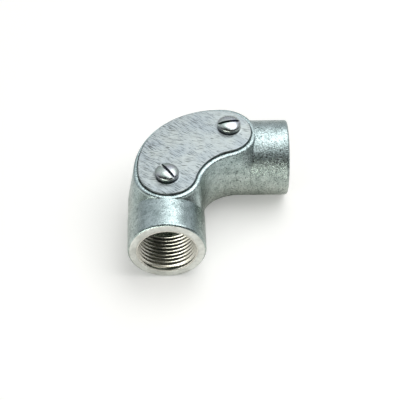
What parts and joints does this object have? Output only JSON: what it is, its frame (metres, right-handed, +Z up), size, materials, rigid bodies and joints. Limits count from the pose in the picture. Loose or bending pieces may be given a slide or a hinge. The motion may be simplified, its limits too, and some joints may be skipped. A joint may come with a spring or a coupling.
{
  "type": "conduit inspection bend",
  "caption": "Right-angle bend for screwed steel conduit, with a threaded socket at each end and a flat bean-shaped inspection cover held by slotted screws.",
  "frame": {"origin": "under the middle of the whole bend, on the surface that it rests on", "axes": "+Z up through the cover, -Y out of the inlet socket, +X out of the outlet socket"},
  "size_m": [0.0542, 0.0542, 0.029],
  "materials": {
    "galvanised_iron": "galvanised casting",
    "cover_steel": "linished zinc",
    "plated_screw": "bright zinc plate"
  },
  "bodies": {
    "casting": {"casting": "galvanised_iron"},
    "cover": {"cover": "cover_steel"},
    "screw_inlet": {"screw_inlet": "plated_screw"},
    "screw_outlet": {"screw_outlet": "plated_screw"}
  },
  "joints": [
    {"name": "cover_lift", "type": "slide", "parent": "casting", "child": "cover", "axis": [0, 0, 1], "range_m": [0, 0.0042]},
    {"name": "screw_inlet_turn", "type": "hinge", "parent": "cover", "child": "screw_inlet", "pos_m": [-0.01408, -0.00613, 0.02635], "axis": [0, 0, 1], "range_deg": [0, 2160]},
    {"name": "screw_outlet_turn", "type": "hinge", "parent": "cover", "child": "screw_outlet", "pos_m": [0.00702, 0.01568, 0.02635], "axis": [0, 0, 1], "range_deg": [0, 2160]}
  ],
  "couplings": [
    {"joint": "screw_inlet_turn", "follows": "cover_lift", "rad_per_m": 8975.9},
    {"joint": "screw_outlet_turn", "follows": "cover_lift", "rad_per_m": 8975.9}
  ]
}
